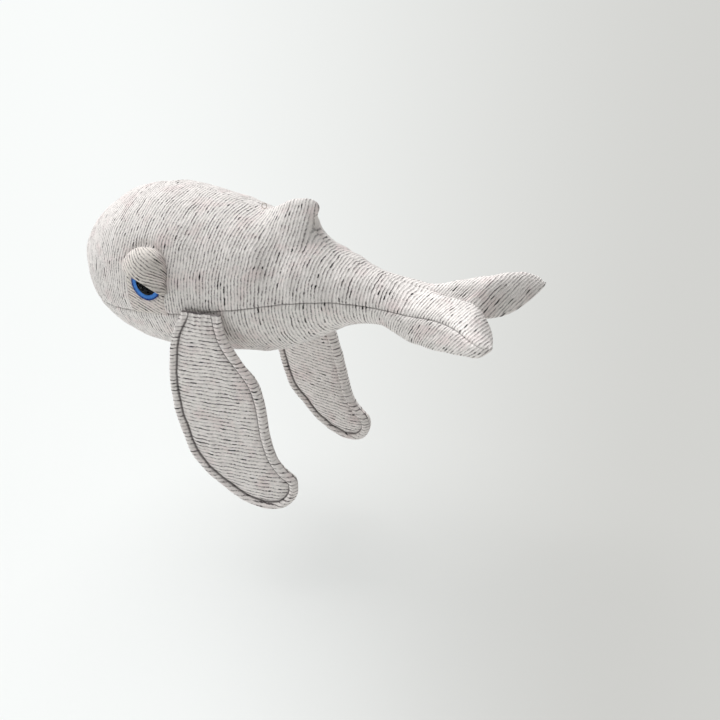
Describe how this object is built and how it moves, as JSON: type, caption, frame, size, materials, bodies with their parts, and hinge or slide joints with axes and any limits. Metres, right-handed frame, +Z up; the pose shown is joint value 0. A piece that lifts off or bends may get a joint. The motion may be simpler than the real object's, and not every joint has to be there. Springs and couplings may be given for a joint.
{
  "type": "plush whale",
  "caption": "Stuffed striped jersey whale with hanging pectoral fins, a hooked dorsal fin, flukes cut in one with the body, domed eyes under stuffed lids and a thread loop on the crown.",
  "frame": {"origin": "top of the thread loop on the crown, on the plane of symmetry", "axes": "+Z up, +X from the nose to the tail, +Y to the whale's right, away from its left flank"},
  "size_m": [0.3926, 0.1682, 0.2438],
  "materials": {
    "back_jersey": "cream jersey with fine broken grey stripes, matt",
    "lid_jersey": "the same jersey, stripes across the lid",
    "belly_jersey": "the same jersey, stripes leaning the other way",
    "fin_jersey": "the same jersey, stripes across the fin",
    "filling": "white polyester fibre",
    "lens": "clear, polished dome",
    "iris": "blue, glossy",
    "pupil": "black, glossy",
    "eye_plastic": "black, matt",
    "thread": "dark sewing thread"
  },
  "bodies": {
    "torso": {"belly_panel": "belly_jersey", "body_filling": "filling", "hang_loop": "thread", "left_back_panel": "back_jersey", "left_eye_iris": "iris", "left_eye_lens": "lens", "left_eye_post": "eye_plastic", "left_eye_pupil": "pupil", "left_eye_washer": "eye_plastic", "left_lower_eyelid": "lid_jersey", "left_upper_eyelid": "lid_jersey", "left_upper_eyelid_filling": "filling", "right_back_panel": "back_jersey", "right_eye_iris": "iris", "right_eye_lens": "lens", "right_eye_post": "eye_plastic", "right_eye_pupil": "pupil", "right_eye_washer": "eye_plastic", "right_lower_eyelid": "lid_jersey", "right_upper_eyelid": "lid_jersey", "right_upper_eyelid_filling": "filling"},
    "tail": {"left_tail_back_panel": "back_jersey", "right_tail_back_panel": "back_jersey", "tail_belly_panel": "belly_jersey", "tail_filling": "filling"},
    "left_fin": {"left_fin_outer_panel": "fin_jersey", "left_fin_inner_panel": "fin_jersey", "left_fin_padding": "filling", "left_fin_rim_filling": "filling"},
    "right_fin": {"right_fin_outer_panel": "fin_jersey", "right_fin_inner_panel": "fin_jersey", "right_fin_padding": "filling", "right_fin_rim_filling": "filling"}
  },
  "joints": [
    {"name": "tail_bend", "type": "hinge", "parent": "torso", "child": "tail", "pos_m": [0.079, 0, -0.06093], "axis": [0, -1, 0], "range_deg": [-20, 25], "stiffness_Nm_per_rad": 0.3, "springref_deg": 3.21},
    {"name": "left_fin_swing", "type": "hinge", "parent": "torso", "child": "left_fin", "pos_m": [-0.0185, -0.06424, -0.07558], "axis": [-0.9835, -0.181, 0], "range_deg": [-10, 110], "stiffness_Nm_per_rad": 0.005, "springref_deg": 7.45},
    {"name": "right_fin_swing", "type": "hinge", "parent": "torso", "child": "right_fin", "pos_m": [-0.0185, 0.06424, -0.07558], "axis": [0.9835, -0.181, 0], "range_deg": [-10, 110], "stiffness_Nm_per_rad": 0.005, "springref_deg": 7.45}
  ]
}
